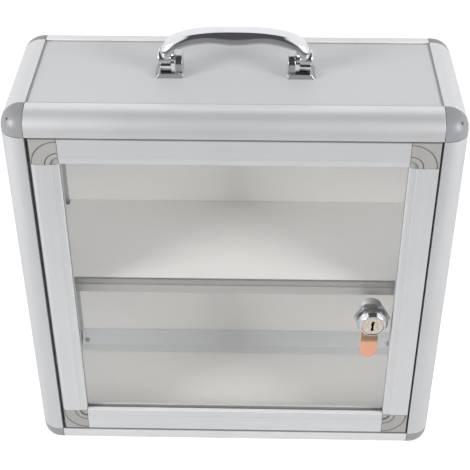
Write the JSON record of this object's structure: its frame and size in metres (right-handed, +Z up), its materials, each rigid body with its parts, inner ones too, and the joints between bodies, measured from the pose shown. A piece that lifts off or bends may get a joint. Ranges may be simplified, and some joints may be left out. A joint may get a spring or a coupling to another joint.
{
  "type": "medication lock box",
  "caption": "Shallow countertop lock box of rounded aluminium rails and thin panels, with a clear cam-locked door, a shelf and a folding handle.",
  "frame": {"origin": "middle of the base, at the height it stands on", "axes": "+X to the right of someone facing the door, +Y towards the back, +Z up"},
  "size_m": [0.32, 0.127, 0.3526],
  "materials": {
    "satin_aluminium": "satin anodised extrusion",
    "door_aluminium": "satin anodised extrusion",
    "panel_laminate": "smooth pale grey facing",
    "inner_board": "plain warm grey board",
    "cap_plastic": "moulded, fine grain",
    "corner_plastic": "moulded, fine grain",
    "clear_pane": "clear polished sheet",
    "chrome_plate": "bright chrome plating",
    "satin_nickel": "turned, warm satin nickel",
    "yellow_zinc": "yellow passivated zinc plating",
    "shelf_edge": "satin grooved edging",
    "peg_steel": "zinc plated",
    "pin_steel": "plain steel"
  },
  "bodies": {
    "case": {"back_bottom_rail": "satin_aluminium", "back_left_post": "satin_aluminium", "back_panel": "inner_board", "back_right_post": "satin_aluminium", "back_top_rail": "satin_aluminium", "bottom_panel": "inner_board", "corner_cap_back_bottom_left": "cap_plastic", "corner_cap_back_bottom_right": "cap_plastic", "corner_cap_back_top_left": "cap_plastic", "corner_cap_back_top_right": "cap_plastic", "corner_cap_front_bottom_left": "cap_plastic", "corner_cap_front_bottom_right": "cap_plastic", "corner_cap_front_top_left": "cap_plastic", "corner_cap_front_top_right": "cap_plastic", "front_bottom_rail": "satin_aluminium", "front_left_post": "satin_aluminium", "front_right_post": "satin_aluminium", "front_top_rail": "satin_aluminium", "handle_bracket_left": "chrome_plate", "handle_bracket_right": "chrome_plate", "handle_pin_left": "pin_steel", "handle_pin_right": "pin_steel", "handle_screw_left": "pin_steel", "handle_screw_right": "pin_steel", "left_bottom_rail": "satin_aluminium", "left_panel": "panel_laminate", "left_top_rail": "satin_aluminium", "rail_rivet_bottom_left": "pin_steel", "rail_rivet_bottom_right": "pin_steel", "rail_rivet_top_left": "pin_steel", "rail_rivet_top_right": "pin_steel", "right_bottom_rail": "satin_aluminium", "right_panel": "panel_laminate", "right_top_rail": "satin_aluminium", "shelf_board": "inner_board", "shelf_edge_trim": "shelf_edge", "shelf_peg_front_left": "peg_steel", "shelf_peg_front_right": "peg_steel", "shelf_peg_rear_left": "peg_steel", "shelf_peg_rear_right": "peg_steel", "top_panel": "panel_laminate"},
    "door": {"door_bottom_rail": "door_aluminium", "door_corner_bottom_left": "corner_plastic", "door_corner_bottom_right": "corner_plastic", "door_corner_top_left": "corner_plastic", "door_corner_top_right": "corner_plastic", "door_hinge_stile": "door_aluminium", "door_lock_stile": "door_aluminium", "door_pane": "clear_pane", "door_top_rail": "door_aluminium", "lock_body": "chrome_plate", "lock_nut": "chrome_plate", "lock_washer": "chrome_plate", "lower_pivot_pin": "pin_steel", "upper_pivot_pin": "pin_steel"},
    "lock_cylinder": {"lock_plug": "satin_nickel", "lock_cam": "yellow_zinc", "cam_screw": "pin_steel"},
    "handle": {"handle_grip": "chrome_plate"}
  },
  "joints": [
    {"name": "door_hinge", "type": "hinge", "parent": "case", "child": "door", "pos_m": [-0.137, -0.0597, 0.16], "axis": [0, 0, -1], "range_deg": [0, 105]},
    {"name": "lock_turn", "type": "hinge", "parent": "door", "child": "lock_cylinder", "pos_m": [0.1059, -0.0635, 0.1357], "axis": [0, -1, 0], "range_deg": [0, 90]},
    {"name": "handle_fold", "type": "hinge", "parent": "case", "child": "handle", "pos_m": [0, 0, 0.33065], "axis": [1, 0, 0], "range_deg": [-90, 90]}
  ]
}
